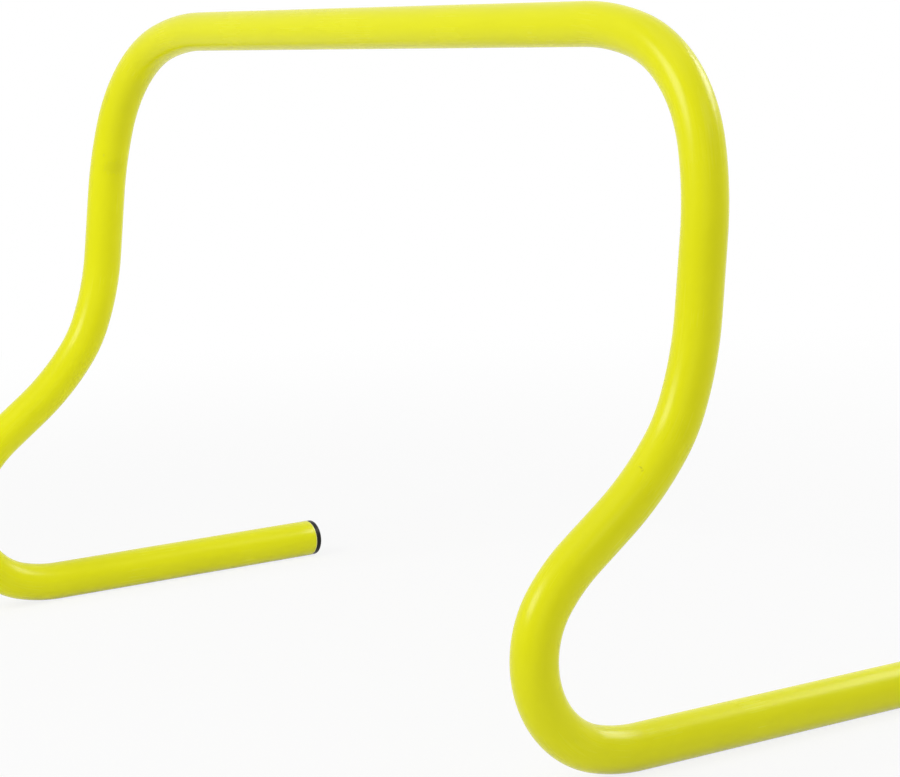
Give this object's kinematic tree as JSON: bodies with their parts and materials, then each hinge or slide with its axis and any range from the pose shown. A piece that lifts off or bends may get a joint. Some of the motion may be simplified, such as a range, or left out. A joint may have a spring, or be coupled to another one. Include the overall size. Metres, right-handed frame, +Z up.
{
  "type": "speed hurdle",
  "caption": "Low free-standing training hurdle bent from one round plastic tube, with hooked legs and straight feet that lie on the floor, and a plug in each open end.",
  "frame": {"origin": "on the floor, midway between the legs, and midway between the front of the heel bends and the back of the end plugs", "axes": "+Z up, +X along the top bar, +Y back along the feet, out of their free ends"},
  "size_m": [0.494, 0.2182, 0.3003],
  "materials": {
    "yellow_tube": "extruded tube, satin gloss, slightly marked by handling",
    "black_plug": "moulded, fine matt grain"
  },
  "bodies": {
    "root": {"hurdle_tube": "yellow_tube", "left_end_plug": "black_plug", "right_end_plug": "black_plug"}
  },
  "joints": []
}
